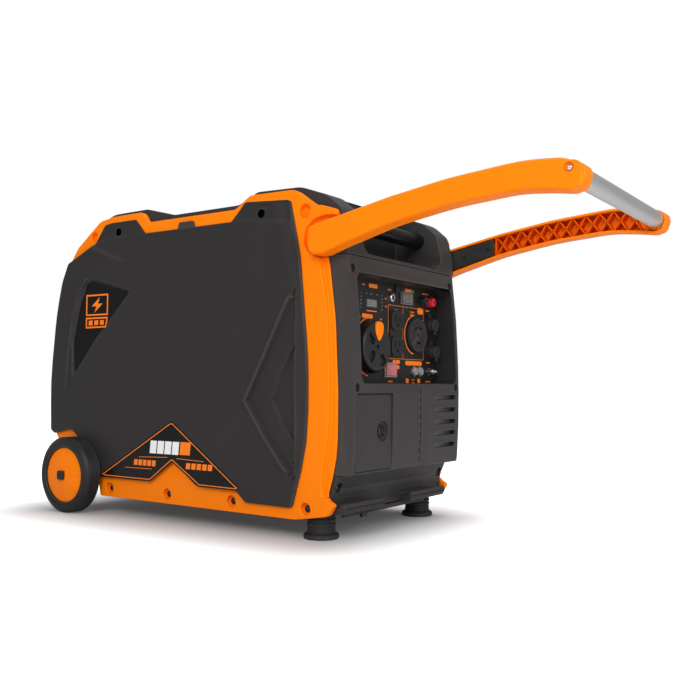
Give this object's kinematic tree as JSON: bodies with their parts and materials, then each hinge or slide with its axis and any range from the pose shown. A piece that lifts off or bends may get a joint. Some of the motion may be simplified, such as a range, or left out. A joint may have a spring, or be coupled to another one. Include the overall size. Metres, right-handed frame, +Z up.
{
  "type": "inverter generator",
  "caption": "Enclosed portable inverter generator with orange side frames, a fold-down tow handle, two wheels, two feet and a recessed control panel.",
  "frame": {"origin": "on the ground under the middle of the whole object's box, with the tow handle raised", "axes": "+X towards the control panel and the tow handle's grip, +Y to the right seen facing the control panel, +Z up"},
  "size_m": [0.9574, 0.413, 0.4975],
  "materials": {
    "orange_plastic": "moulded ABS with a soft sheen",
    "charcoal_plastic": "finely textured moulding",
    "black_plastic": "satin",
    "tyre_rubber": "solid rubber",
    "soft_rubber": "matt",
    "bright_steel": "turned and plated",
    "black_steel": "powder coated",
    "grip_alloy": "satin grey tube",
    "cast_alloy": "as cast",
    "grey_plastic": "translucent smoke",
    "red_plastic": "gloss"
  },
  "bodies": {
    "chassis": {"base_pan": "black_plastic", "side_frame_left": "orange_plastic", "side_frame_right": "orange_plastic", "side_cover_left": "charcoal_plastic", "side_cover_right": "charcoal_plastic", "top_shell": "charcoal_plastic", "carry_handle": "black_plastic", "front_fascia": "charcoal_plastic", "control_panel": "charcoal_plastic", "front_skirt": "charcoal_plastic", "rear_panel": "charcoal_plastic", "exhaust_outlet": "bright_steel", "axle": "bright_steel", "axle_cap_left": "black_plastic", "axle_cap_right": "black_plastic", "foot_left": "soft_rubber", "foot_right": "soft_rubber", "pivot_bolt_left": "bright_steel", "pivot_bolt_right": "bright_steel", "duplex_outlet": "black_plastic", "round_outlet": "charcoal_plastic", "dc_jack_black": "black_plastic", "dc_jack_red": "red_plastic", "ground_stud": "bright_steel", "engine_block": "cast_alloy", "cylinder_head": "cast_alloy", "spark_plug": "bright_steel", "stator": "bright_steel", "recoil_housing": "charcoal_plastic", "fuel_tank": "black_plastic", "air_box": "black_plastic", "carburettor": "cast_alloy", "silencer": "bright_steel", "inverter_module": "cast_alloy", "battery": "black_plastic"},
    "tow_handle": {"handle_arm_left": "orange_plastic", "handle_arm_right": "orange_plastic", "hinge_bracket_left": "black_steel", "hinge_bracket_right": "black_steel", "grip_tube": "grip_alloy"},
    "wheel_left": {"tyre_left": "tyre_rubber", "hub_left": "orange_plastic"},
    "wheel_right": {"tyre_right": "tyre_rubber", "hub_right": "orange_plastic"},
    "engine_dial": {"engine_dial": "black_plastic"},
    "eco_switch": {"eco_switch": "grey_plastic"},
    "start_switch": {"start_switch": "red_plastic"},
    "breaker_1": {"breaker_button_1": "grey_plastic"},
    "breaker_2": {"breaker_button_2": "grey_plastic"},
    "mute_button": {"mute_button": "black_plastic"},
    "socket_cap_1": {"socket_cap_1": "soft_rubber"},
    "socket_cap_2": {"socket_cap_2": "soft_rubber"},
    "ground_nut": {"ground_wing_nut": "bright_steel"},
    "service_door": {"service_door": "charcoal_plastic"},
    "door_lock": {"door_lock": "black_plastic"},
    "fuel_cap": {"fuel_cap": "black_plastic"},
    "rotor": {"crankshaft": "bright_steel", "rotor": "bright_steel"},
    "recoil_pulley": {"recoil_pulley": "black_plastic"},
    "recoil_grip": {"recoil_grip": "black_plastic"}
  },
  "joints": [
    {"name": "tow_handle_fold", "type": "hinge", "parent": "chassis", "child": "tow_handle", "pos_m": [0.115, 0, 0.415], "axis": [0, 1, 0], "range_deg": [0, 93]},
    {"name": "wheel_left_spin", "type": "hinge", "parent": "chassis", "child": "wheel_left", "pos_m": [-0.4015, -0.185, 0.0625], "axis": [0, 1, 0], "continuous": true},
    {"name": "wheel_right_spin", "type": "hinge", "parent": "chassis", "child": "wheel_right", "pos_m": [-0.4015, 0.185, 0.0625], "axis": [0, 1, 0], "continuous": true},
    {"name": "engine_dial_turn", "type": "hinge", "parent": "chassis", "child": "engine_dial", "pos_m": [0.1095, -0.0553, 0.2697], "axis": [1, 0, 0], "range_deg": [0, 120]},
    {"name": "eco_switch_rock", "type": "hinge", "parent": "chassis", "child": "eco_switch", "pos_m": [0.109, 0.048, 0.3496], "axis": [0, 0, 1], "range_deg": [-8, 8]},
    {"name": "start_switch_rock", "type": "hinge", "parent": "chassis", "child": "start_switch", "pos_m": [0.109, 0.001, 0.2369], "axis": [0, 0, 1], "range_deg": [-8, 8], "stiffness_Nm_per_rad": 0.05},
    {"name": "breaker_1_push", "type": "slide", "parent": "chassis", "child": "breaker_1", "axis": [1, 0, 0], "range_m": [0, 0.003]},
    {"name": "breaker_2_push", "type": "slide", "parent": "chassis", "child": "breaker_2", "axis": [1, 0, 0], "range_m": [0, 0.003]},
    {"name": "mute_button_push", "type": "slide", "parent": "chassis", "child": "mute_button", "axis": [1, 0, 0], "range_m": [-0.0015, 0], "stiffness_N_per_m": 300},
    {"name": "socket_cap_1_lift", "type": "hinge", "parent": "chassis", "child": "socket_cap_1", "pos_m": [0.1101, 0.119, 0.3295], "axis": [0, -1, 0], "range_deg": [0, 70], "stiffness_Nm_per_rad": 0.02, "springref_deg": -5.73},
    {"name": "socket_cap_2_lift", "type": "hinge", "parent": "chassis", "child": "socket_cap_2", "pos_m": [0.1101, 0.123, 0.286], "axis": [0, -1, 0], "range_deg": [0, 70], "stiffness_Nm_per_rad": 0.02, "springref_deg": -5.73},
    {"name": "ground_nut_spin", "type": "hinge", "parent": "chassis", "child": "ground_nut", "pos_m": [0.1165, 0.119, 0.2357], "axis": [1, 0, 0], "continuous": true},
    {"name": "service_door_swing", "type": "hinge", "parent": "chassis", "child": "service_door", "pos_m": [0.1445, -0.1447, 0.14825], "axis": [0, 0, -1], "range_deg": [0, 70]},
    {"name": "door_lock_turn", "type": "hinge", "parent": "service_door", "child": "door_lock", "pos_m": [0.135, -0.0745, 0.1485], "axis": [1, 0, 0], "range_deg": [0, 90]},
    {"name": "fuel_cap_turn", "type": "hinge", "parent": "chassis", "child": "fuel_cap", "pos_m": [-0.13, 0, 0.4818], "axis": [0, 0, 1], "range_deg": [0, 270]},
    {"name": "rotor_spin", "type": "hinge", "parent": "chassis", "child": "rotor", "pos_m": [-0.225, 0, 0.1745], "axis": [0, 1, 0], "continuous": true},
    {"name": "recoil_grip_pull", "type": "slide", "parent": "chassis", "child": "recoil_grip", "axis": [0, 1, 0], "range_m": [0, 0.5], "stiffness_N_per_m": 40, "springref_m": -0.3},
    {"name": "recoil_pulley_spin", "type": "hinge", "parent": "chassis", "child": "recoil_pulley", "pos_m": [-0.225, 0.142, 0.1745], "axis": [0, 1, 0], "range_deg": [0, 900]}
  ],
  "couplings": [
    {"joint": "recoil_pulley_spin", "follows": "recoil_grip_pull", "rad_per_m": 28.571}
  ]
}
